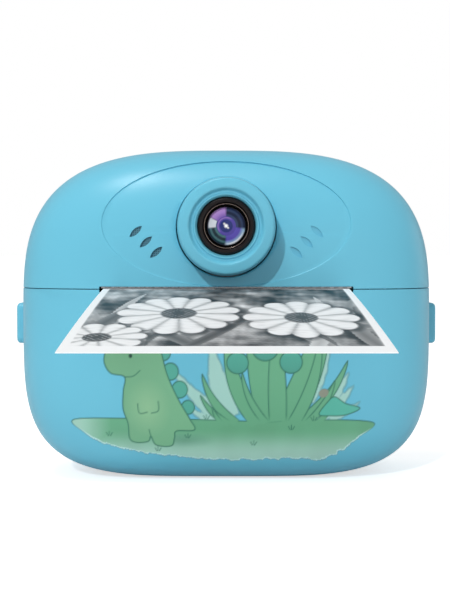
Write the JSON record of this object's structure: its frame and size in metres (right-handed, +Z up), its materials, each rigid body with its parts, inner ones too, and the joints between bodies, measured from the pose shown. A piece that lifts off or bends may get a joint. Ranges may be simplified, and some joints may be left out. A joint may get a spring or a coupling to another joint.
{
  "type": "children's instant print camera",
  "caption": "Pillow-shaped children's camera with a lens snout, a drop-down paper door, a thermal printer and a display with keys at the back.",
  "frame": {"origin": "middle of the flat base, just behind the door hinge, in the plane where the front and rear mouldings meet", "axes": "+X to the right as seen from in front of the lens, -Y out of the lens towards the subject, +Z up"},
  "size_m": [0.1058, 0.1358, 0.08],
  "materials": {
    "body_plastic": "satin moulded",
    "black_plastic": "satin",
    "trim_metal": "bright",
    "lens_glass": "coated",
    "display_glass": "polished",
    "display_panel": "smooth",
    "key_plastic": "satin",
    "circuit_board": "satin",
    "battery_wrap": "foil pouch",
    "chassis_plastic": "satin",
    "steel": "bright",
    "spring_steel": "bright",
    "gear_nylon": "satin",
    "pinion_brass": "machined",
    "platen_rubber": "matt",
    "port_rubber": "matt",
    "bush_bronze": "machined",
    "head_aluminium": "satin",
    "head_ceramic": "glazed",
    "thermal_paper": "smooth",
    "core_card": "matt"
  },
  "bodies": {
    "camera_body": {"front_cover": "body_plastic", "rear_cover": "body_plastic", "lens_nose": "body_plastic", "lens_bezel": "black_plastic", "lens_barrel": "black_plastic", "speaker": "black_plastic", "lens_trim_ring": "trim_metal", "usb_socket": "trim_metal", "card_socket": "trim_metal", "lens_window": "lens_glass", "inner_lens": "lens_glass", "display_window": "display_glass", "display_panel": "display_panel", "main_board": "circuit_board", "key_board": "circuit_board", "sensor_board": "circuit_board", "battery": "battery_wrap", "print_chassis": "chassis_plastic", "idler_axle": "steel", "stepper_motor": "steel", "tear_bar": "steel", "hinge_pin_left": "steel", "hinge_pin_right": "steel", "screw_upper_left": "steel", "screw_upper_right": "steel", "screw_lower_left": "steel", "screw_lower_right": "steel", "head_spring_left": "spring_steel", "head_spring_right": "spring_steel", "release_spring_left": "spring_steel", "release_spring_right": "spring_steel", "paper_web": "thermal_paper"},
    "door": {"paper_door": "body_plastic", "platen_carrier": "chassis_plastic", "platen_bush_left": "bush_bronze", "platen_bush_right": "bush_bronze"},
    "platen": {"platen_shaft": "steel", "platen_sleeve": "platen_rubber", "platen_gear": "gear_nylon"},
    "idler": {"idler_gear": "gear_nylon"},
    "motor_drive": {"motor_pinion": "pinion_brass"},
    "roll": {"paper_roll": "thermal_paper", "roll_core": "core_card"},
    "print_head": {"thermal_head": "head_ceramic", "head_heat_sink": "head_aluminium"},
    "photo": {"printed_photo": "thermal_paper"},
    "release_left": {"release_button_left": "body_plastic"},
    "release_right": {"release_button_right": "body_plastic"},
    "port_flap": {"port_cover": "port_rubber"},
    "shutter": {"shutter_button": "key_plastic"},
    "power": {"power_button": "key_plastic"},
    "up_press": {"up_key": "key_plastic"},
    "down_press": {"down_key": "key_plastic"},
    "left_press": {"left_key": "key_plastic"},
    "right_press": {"right_key": "key_plastic"},
    "ok_press": {"ok_key": "key_plastic"},
    "menu_press": {"menu_key": "key_plastic"},
    "print_press": {"print_key": "key_plastic"},
    "delete_press": {"delete_key": "key_plastic"}
  },
  "joints": [
    {"name": "door_hinge", "type": "hinge", "parent": "camera_body", "child": "door", "pos_m": [0, -0.004, 0.0026], "axis": [1, 0, 0], "range_deg": [0, 85]},
    {"name": "platen_spin", "type": "hinge", "parent": "door", "child": "platen", "pos_m": [0, -0.015, 0.0419], "axis": [1, 0, 0], "continuous": true},
    {"name": "idler_spin", "type": "hinge", "parent": "camera_body", "child": "idler", "pos_m": [0.035, -0.00791, 0.04744], "axis": [1, 0, 0], "continuous": true},
    {"name": "motor_spin", "type": "hinge", "parent": "camera_body", "child": "motor_drive", "pos_m": [0.035, -0.00003, 0.0536], "axis": [1, 0, 0], "continuous": true},
    {"name": "roll_spin", "type": "hinge", "parent": "camera_body", "child": "roll", "pos_m": [0, -0.008, 0.0215], "axis": [1, 0, 0], "continuous": true},
    {"name": "head_pivot", "type": "hinge", "parent": "camera_body", "child": "print_head", "pos_m": [0, -0.0115, 0.0489], "axis": [-1, 0, 0], "range_deg": [0, 3], "stiffness_Nm_per_rad": 0.3, "springref_deg": -3.44, "deforming": ["head_spring_left", "head_spring_right"]},
    {"name": "photo_pull", "type": "slide", "parent": "camera_body", "child": "photo", "axis": [0, -1, 0], "range_m": [0, 0.06]},
    {"name": "release_left_press", "type": "slide", "parent": "camera_body", "child": "release_left", "axis": [1, 0, 0], "range_m": [0, 0.0012], "stiffness_N_per_m": 400, "springref_m": -0.001, "deforming": ["release_spring_left"]},
    {"name": "release_right_press", "type": "slide", "parent": "camera_body", "child": "release_right", "axis": [-1, 0, 0], "range_m": [0, 0.0012], "stiffness_N_per_m": 400, "springref_m": -0.001, "deforming": ["release_spring_right"]},
    {"name": "port_flap_hinge", "type": "hinge", "parent": "camera_body", "child": "port_flap", "pos_m": [0.0497, 0.0146, 0.028], "axis": [0, 0, 1], "range_deg": [0, 100]},
    {"name": "shutter_press", "type": "slide", "parent": "camera_body", "child": "shutter", "axis": [0.1818, 0, -0.9833], "range_m": [0, 0.0008], "stiffness_N_per_m": 400, "springref_m": -0.0005},
    {"name": "power_press", "type": "slide", "parent": "camera_body", "child": "power", "axis": [-0.085, 0, -0.9964], "range_m": [0, 0.0008], "stiffness_N_per_m": 400, "springref_m": -0.0005},
    {"name": "up_key_press", "type": "slide", "parent": "camera_body", "child": "up_press", "axis": [0, -1, 0], "range_m": [0, 0.0008], "stiffness_N_per_m": 300, "springref_m": -0.0004},
    {"name": "down_key_press", "type": "slide", "parent": "camera_body", "child": "down_press", "axis": [0, -1, 0], "range_m": [0, 0.0008], "stiffness_N_per_m": 300, "springref_m": -0.0004},
    {"name": "left_key_press", "type": "slide", "parent": "camera_body", "child": "left_press", "axis": [0, -1, 0], "range_m": [0, 0.0008], "stiffness_N_per_m": 300, "springref_m": -0.0004},
    {"name": "right_key_press", "type": "slide", "parent": "camera_body", "child": "right_press", "axis": [0, -1, 0], "range_m": [0, 0.0008], "stiffness_N_per_m": 300, "springref_m": -0.0004},
    {"name": "ok_key_press", "type": "slide", "parent": "camera_body", "child": "ok_press", "axis": [0, -1, 0], "range_m": [0, 0.0008], "stiffness_N_per_m": 300, "springref_m": -0.0004},
    {"name": "menu_key_press", "type": "slide", "parent": "camera_body", "child": "menu_press", "axis": [0, -1, 0], "range_m": [0, 0.0008], "stiffness_N_per_m": 300, "springref_m": -0.0004},
    {"name": "print_key_press", "type": "slide", "parent": "camera_body", "child": "print_press", "axis": [0, -1, 0], "range_m": [0, 0.0008], "stiffness_N_per_m": 300, "springref_m": -0.0004},
    {"name": "delete_key_press", "type": "slide", "parent": "camera_body", "child": "delete_press", "axis": [0, -1, 0], "range_m": [0, 0.0008], "stiffness_N_per_m": 300, "springref_m": -0.0004}
  ],
  "couplings": [
    {"joint": "idler_spin", "follows": "platen_spin", "ratio": -1.25},
    {"joint": "motor_spin", "follows": "platen_spin", "ratio": 3.75},
    {"joint": "roll_spin", "follows": "platen_spin", "ratio": 0.30827}
  ]
}
